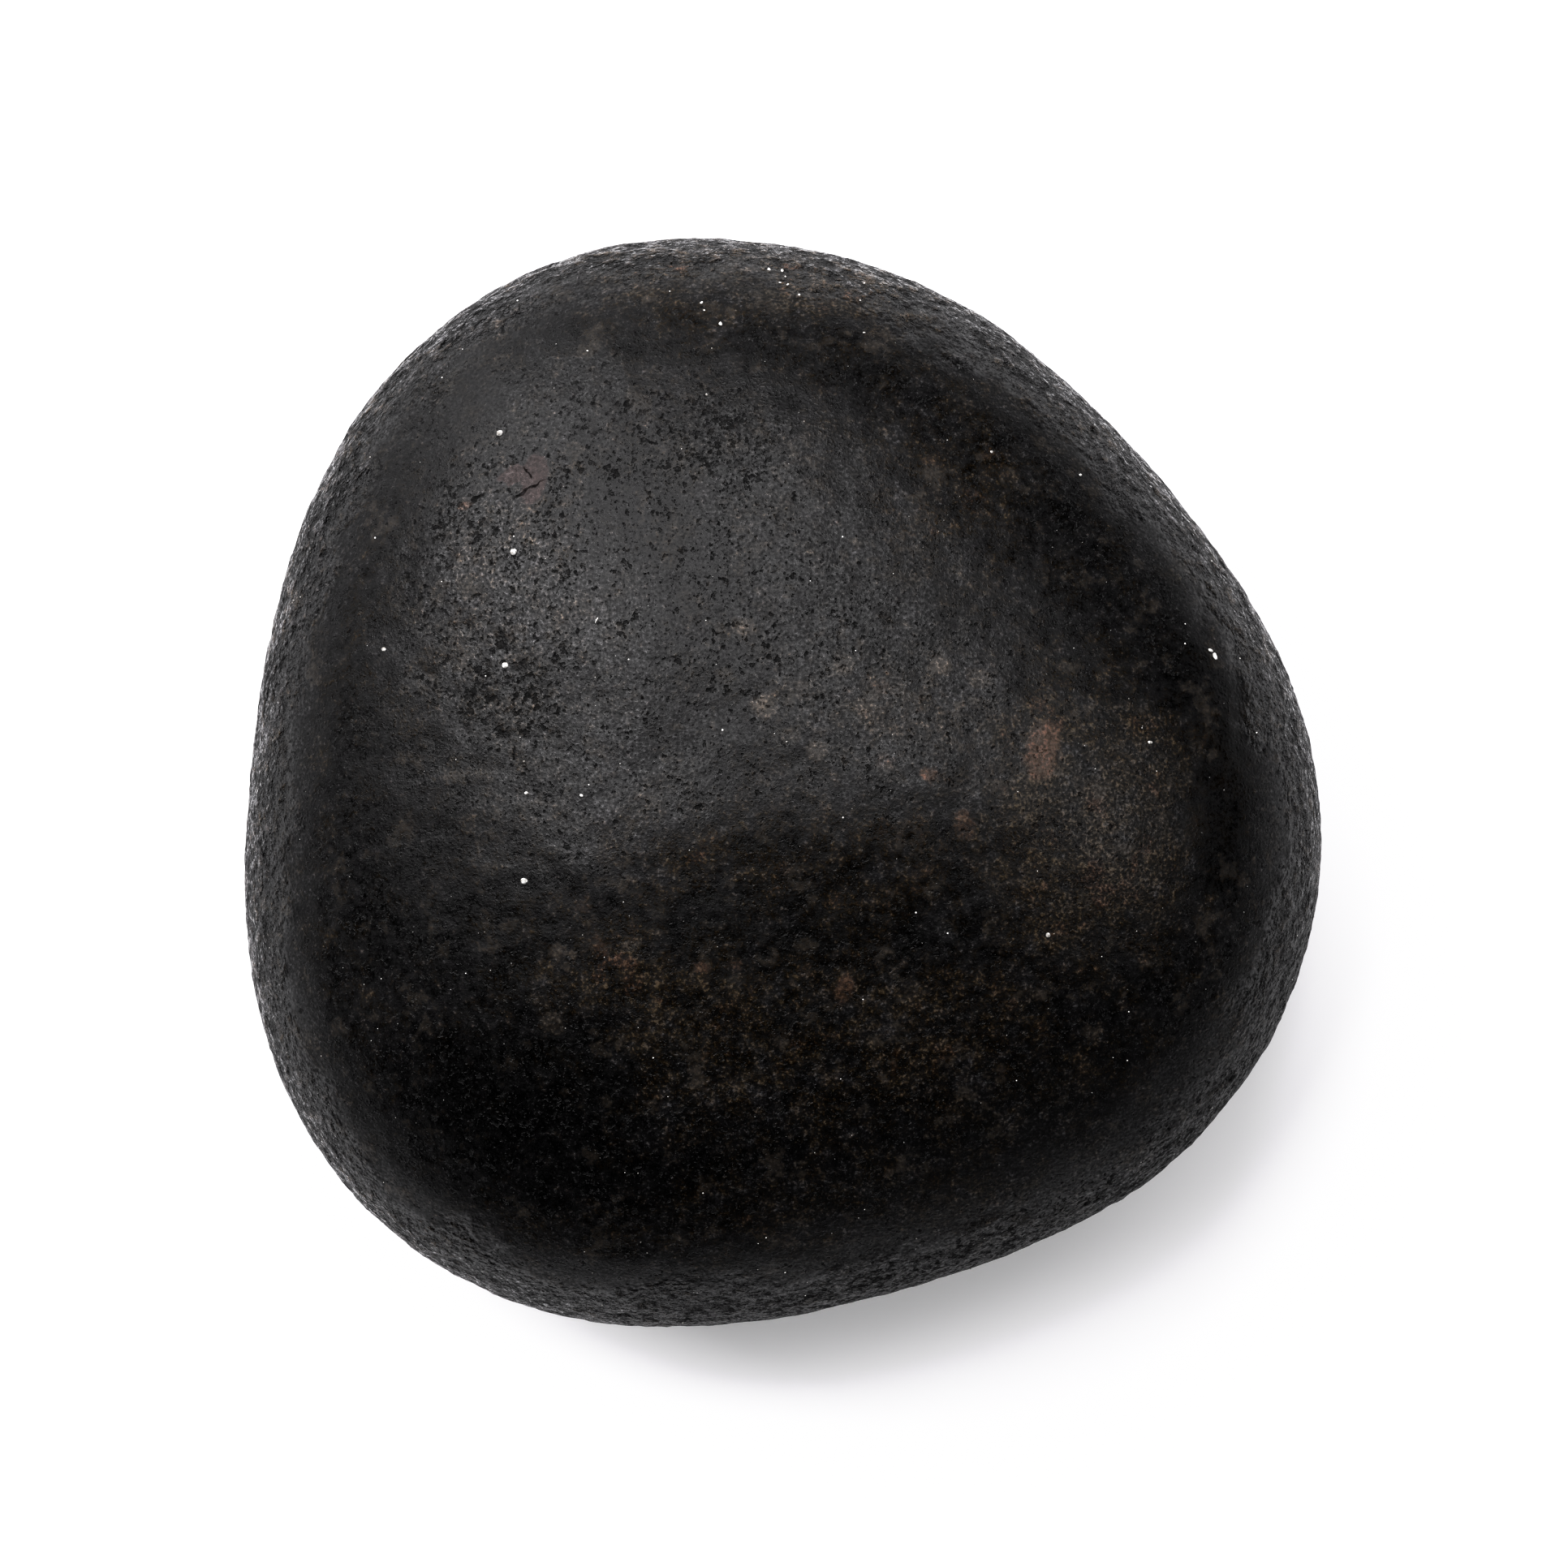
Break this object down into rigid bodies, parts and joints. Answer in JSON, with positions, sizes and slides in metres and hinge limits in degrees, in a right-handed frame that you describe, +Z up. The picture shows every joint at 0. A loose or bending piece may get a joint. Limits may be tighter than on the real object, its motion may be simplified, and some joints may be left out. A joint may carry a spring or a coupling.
{
  "type": "diorite hammerstone",
  "caption": "Hand-sized hammerstone: a dark, water-worn diorite cobble with a rounded three-cornered outline, a low domed top and a worn flat to rest on.",
  "frame": {"origin": "on the surface that the stone lies on, under the middle of its outline", "axes": "+Z up through the low dome, +X to the stone's right, +Y to its back, with the heavy corner at the front left"},
  "size_m": [0.0988, 0.1, 0.0529],
  "materials": {
    "diorite": "near-black, finely pitted stone with brown and grey grains, smoothed by water and handling to a dull satin sheen"
  },
  "bodies": {
    "root": {"hammerstone": "diorite"}
  },
  "joints": []
}
